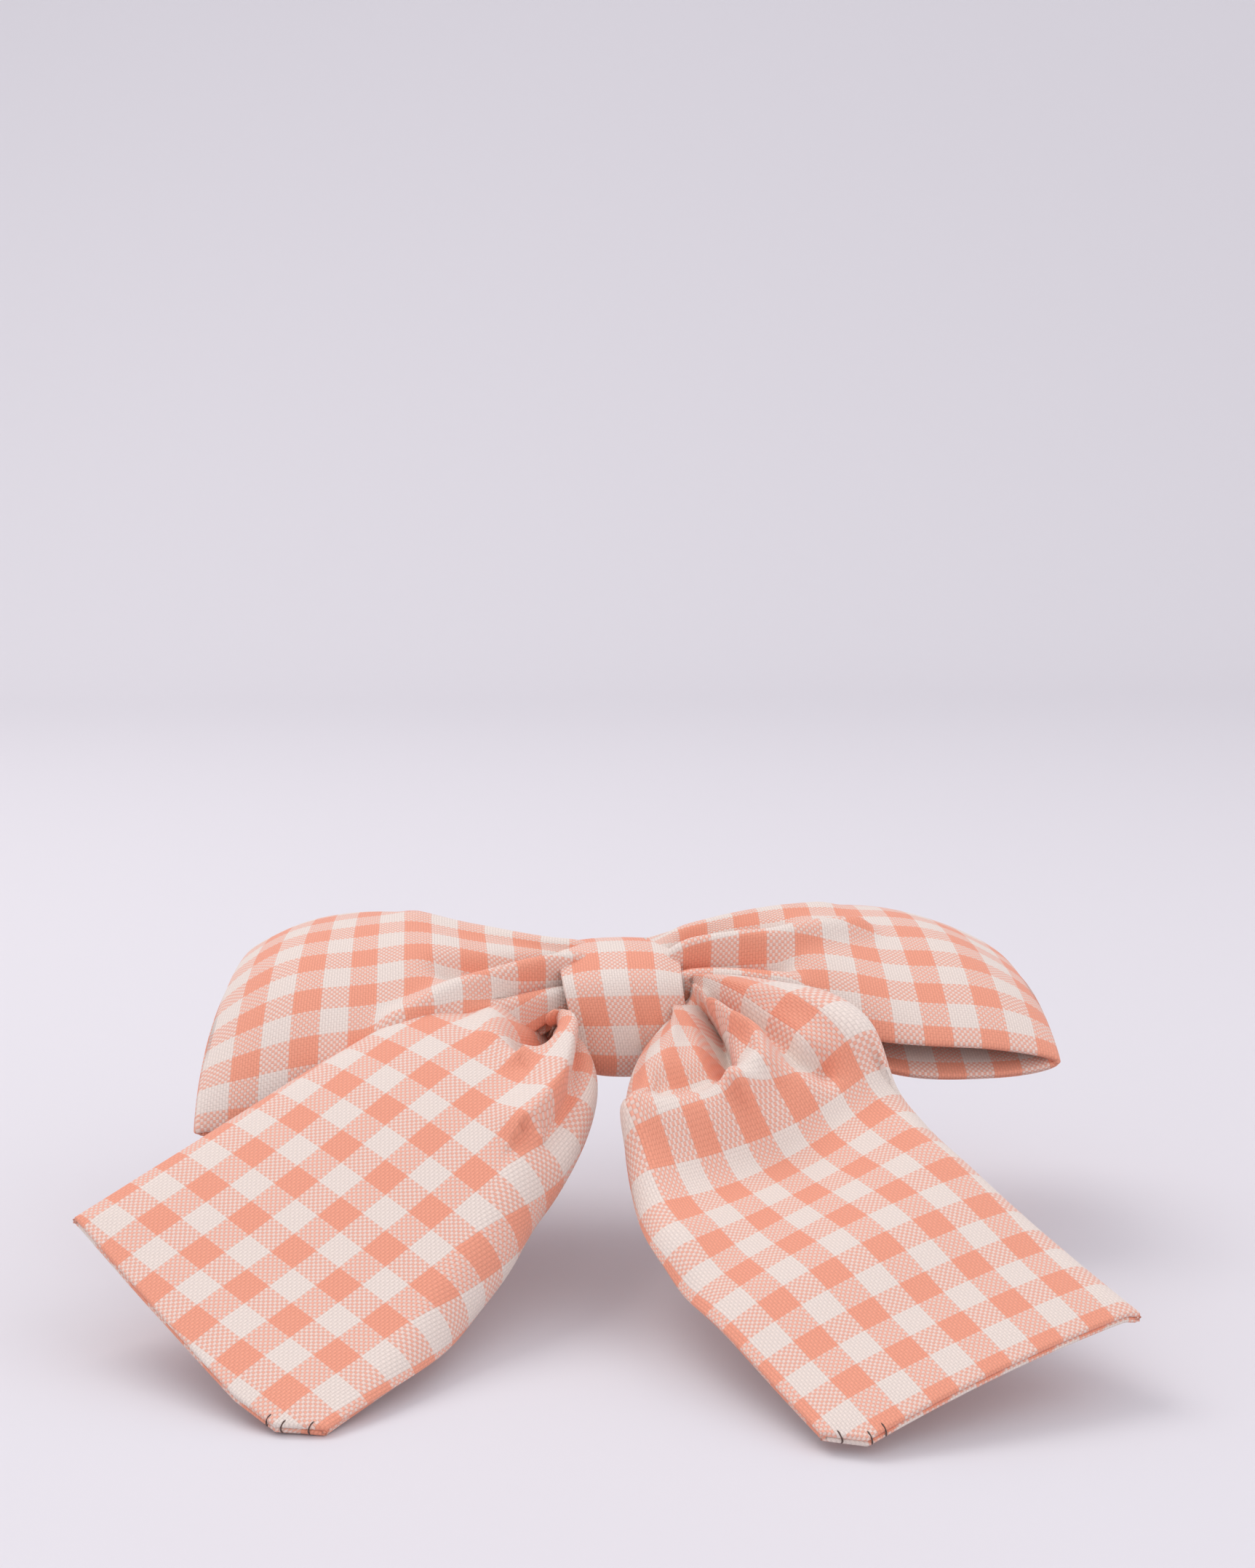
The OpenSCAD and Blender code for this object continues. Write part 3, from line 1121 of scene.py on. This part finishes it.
@dataclass
class Clip:
    """The sprung hair clip and the threads, whose shapes come from the frame."""

    steel: Metal = Metal("clip_steel", (0.62, 0.61, 0.60, 1), 0.34)
    spring: Metal = Metal("spring_steel", (0.42, 0.43, 0.46, 1), 0.28)
    thread: Thread = Thread("sewing_thread", (0.80, 0.74, 0.66, 1))

    def dress(self) -> None:
        """Gives every carried-over node its finish."""
        steel, spring = self.steel.material(), self.spring.material()
        thread = self.thread.material()
        for name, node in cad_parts.items():
            if "thread" in name or "stitches" in name:
                finish = thread
            elif name in ("clip_tension_strip", "catch_prong_front", "catch_prong_back"):
                finish = spring
            elif name.startswith("clip"):
                finish = steel
            else:
                continue
            for slot in node.material_slots:
                slot.material = finish
            log.info("%s wears %s", name, finish.name)


# ---- floor, light and camera ----


@dataclass
class Studio:
    """Plain pale floor, soft light and the camera."""

    floor_z: float = -0.0272
    floor_colour: tuple[float, float, float, float] = (0.73, 0.705, 0.74, 1)
    eye: tuple[float, float, float] = (-0.0447, -0.4257, 0.108)
    look: tuple[float, float, float] = (0.1035, 0.9849, -0.1392)
    lens: float = 54.8

    def floor(self) -> None:
        """A sweep: a floor that curves up into a plain wall."""
        rows = 60
        along = np.linspace(0, 1, rows)
        y = np.interp(along, [0, 0.45, 0.75, 1], [-1.6, 0.9, 1.6, 1.7])
        bend = np.clip((along - 0.45) / 0.3, 0, 1)
        z = self.floor_z + 0.7 * bend**2 + 2.2 * np.clip(along - 0.75, 0, 1) / 0.25
        verts = [(x, yy, zz) for yy, zz in zip(y, z) for x in (-2.5, 2.5)]
        faces = [(2 * i, 2 * i + 1, 2 * i + 3, 2 * i + 2) for i in range(rows - 1)]
        mesh = bpy.data.meshes.new("studio_floor")
        mesh.from_pydata(verts, [], faces)
        mesh.shade_smooth()
        piece = bpy.data.objects.new("studio_floor", mesh)
        bpy.context.scene.collection.objects.link(piece)
        n = Nodes("studio_paper")
        n.shader.inputs["Base Color"].default_value = self.floor_colour
        n.shader.inputs["Roughness"].default_value = 0.6
        n.shader.inputs["Specular IOR Level"].default_value = 0.2
        mesh.materials.append(n.material)
        piece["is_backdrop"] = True

    @staticmethod
    def lamp(
        name: str,
        place: tuple[float, float, float],
        target: tuple[float, float, float],
        size: float,
        power: float,
        colour: tuple[float, float, float],
    ) -> None:
        """Adds a square soft light.

        Args:
            name: Its name.
            place: Where it stands.
            target: What it points at.
            size: Its side.
            power: Its power in watts.
            colour: Its colour.
        """
        light = bpy.data.lights.new(name, "AREA")
        light.size, light.energy, light.color = size, power, colour
        lamp = bpy.data.objects.new(name, light)
        lamp.location = place
        aim = Vector(target) - Vector(place)
        lamp.rotation_euler = aim.to_track_quat("-Z", "Y").to_euler()
        bpy.context.scene.collection.objects.link(lamp)

    def build(self) -> None:
        """Sets up the floor, the lights, the world and the camera."""
        scene = bpy.context.scene
        self.floor()
        self.lamp("key_light", (-0.5, 0.35, 1.0), (0, -0.03, 0), 0.7, 4.6, (1, 0.98, 0.96))
        self.lamp("fill_light", (0.7, -0.5, 0.7), (0, -0.03, 0), 0.9, 1.3, (0.97, 0.98, 1))
        world = bpy.data.worlds.new("studio_air")
        world.use_nodes = True
        back = world.node_tree.nodes["Background"]
        back.inputs[0].default_value = (0.96, 0.955, 1.0, 1)
        back.inputs[1].default_value = 0.92
        scene.world = world
        scene.view_settings.view_transform = "Standard"
        camera = bpy.data.cameras.new("studio_camera")
        camera.lens, camera.sensor_width = self.lens, 36.0
        camera.clip_start = 0.01
        eye = bpy.data.objects.new("studio_camera", camera)
        eye.location = self.eye
        eye.rotation_euler = Vector(self.look).to_track_quat("-Z", "Y").to_euler()
        scene.collection.objects.link(eye)
        scene.camera = eye


def left_tail() -> Tail:
    """Sizes the tail that drapes to the left.

    Returns:
        The tail.
    """
    return Tail(
        name="left_tail",
        place=(-47.8, -56.8, -9),
        turn=(21, 21, -42),
        side=1,
        length=98,
        reach=34.4,
        slant=6.5,
        width=59.0,
        lie=[
            (-38, -1.6, -1.4, 0.5),
            (-20, -2.3, -2.6, -1.6),
            (0, -3.0, -1.6, -3.0),
            (19, -2.8, 0.6, -3.0),
            (30, -3.2, 1.0, -3.2),
            (41, -4.5, -1.0, -5.0),
            (52, -10.0, -8.0, -14.0),
            (61, -20.0, -18.0, -22.0),
        ],
        tuck=[
            (-38, 27, 5, 29, 5),
            (-17, 26, 10, 24, 50),
            (-3, 26, 20, 19.5, 95),
            (9, 25, 25, 16.5, 118),
            (19, 24, 30, 13, 125),
            (29, 23, 30, 11, 122),
            (42, 22, 30, 10, 100),
        ],
        neck=[
            (-30, -15, -9, 8.5),
            (-12, -15.5, -11, 4.5),
            (4, -13, -15.5, 9.0),
            (16, -12, -15.0, 5.0),
            (30, -12, -12, 6.0),
        ],
        folds=[
            Fold([(1.5, 56), (4.5, 42), (8.7, 34), (10.0, 27)], 3.4, 1.6, 4.5),
            Fold([(5.5, 54), (9.0, 42), (12.0, 33), (12.6, 29)], -2.6, 2.8, 1.5),
            Fold([(-6.0, 56), (-3.5, 47), (-2.5, 41)], -6.5, 2.2, 4.0),
            Fold([(-2.0, 35.5), (-9.0, 37.5), (-15.0, 41), (-20, 47)], 2.2, 3.5, 2.0),
        ],
        gather_from=(30, 61),
        warp_at=-21.8,
        weft_at=-28.5,
    )


def right_tail() -> Tail:
    """Sizes the tail that drapes to the right.

    Returns:
        The tail.
    """
    return Tail(
        name="right_tail",
        place=(29.6, -77.5, -12.0),
        turn=(15, -15, 21),
        side=-1,
        length=110,
        reach=32.6,
        slant=0.0,
        blunt=(4.5, 5.0),
        width=53.5,
        off_centre=1.6,
        scale=0.94,
        lie=[
            (-36, -6.5, -3.5, -4.0),
            (-18, -5.0, -3.0, -3.5),
            (0, -2.0, -0.6, -2.6),
            (10, 1.0, -1.9, -3.0),
            (19, 2.4, -3.5, -0.8),
            (28, 3.5, -3.0, -1.0),
            (37, 9.0, 4.5, 2.5),
            (50, 9.0, 6.0, 3.0),
            (76, 4.0, 2.0, 0.0),
        ],
        tuck=[
            (-34, 22, 20, 28, 0),
            (-20, 21, 35, 27, 5),
            (0, 19, 45, 26, 15),
            (15, 18, 50, 23, 45),
            (30, 20, 45, 21, 60),
            (50, 22, 30, 21, 55),
        ],
        neck=[
            (-28, 9.5, -12, 14.0),
            (-16, 10, -12, 12.5),
            (-8, 10.5, -14, 11.5),
            (4, 10.5, -11, 9.0),
            (15, 9.5, -15, 8.5),
            (28, 9.5, -13, 6.0),
        ],
        folds=[
            Fold([(-6.5, 56), (-4.0, 48), (-0.8, 41.5)], -8.0, 2.3, 2.3),
            Fold([(1.5, 56), (8.0, 48), (14.0, 43)], 2.0, 6.0, 4.0),
            Fold(
                [(-9.5, 58), (-8.2, 46), (-9.3, 41.5), (-7.0, 37.7), (0, 36.0)],
                3.6,
                1.9,
                1.6,
            ),
            Fold([(0, 36.0), (6.0, 35.5), (15.0, 36.5), (21.0, 38.5)], 2.8, 3.6, 1.8),
            Fold([(2.0, 39.8), (8.0, 39.6), (15.0, 40.6)], -2.6, 2.0, 2.0),
            Fold([(-11.0, 54), (-12.6, 43), (-12.2, 37.5), (-15.0, 34.5)], -4.2, 1.7, 2.2),
            Fold([(-16.0, 62), (-18.0, 50), (-21.5, 43), (-22.5, 36)], 2.6, 3.0, 6.0),
        ],
        gather_from=(28, 76),
        warp_at=-3.25,
        weft_at=-25.5,
    )


def main() -> None:
    """Builds the bow piece by piece."""
    logging.basicConfig(level=logging.INFO, format="%(name)s: %(message)s")
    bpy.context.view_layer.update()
    cloth = Gingham().material()
    Clip().dress()
    for part in (Loops(), Knot(), left_tail(), right_tail()):
        for piece in part.build(cloth):
            log.info("%s: %d points", piece.name, len(piece.data.vertices))
    for padded in ("loops", "left_tail", "right_tail"):
        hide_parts(f"{padded}_interfacing")
    look_box = [list(map(float, corner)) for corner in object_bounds()]
    Studio(floor_z=look_box[0][2]).build()


if __name__ == "__main__":
    main()
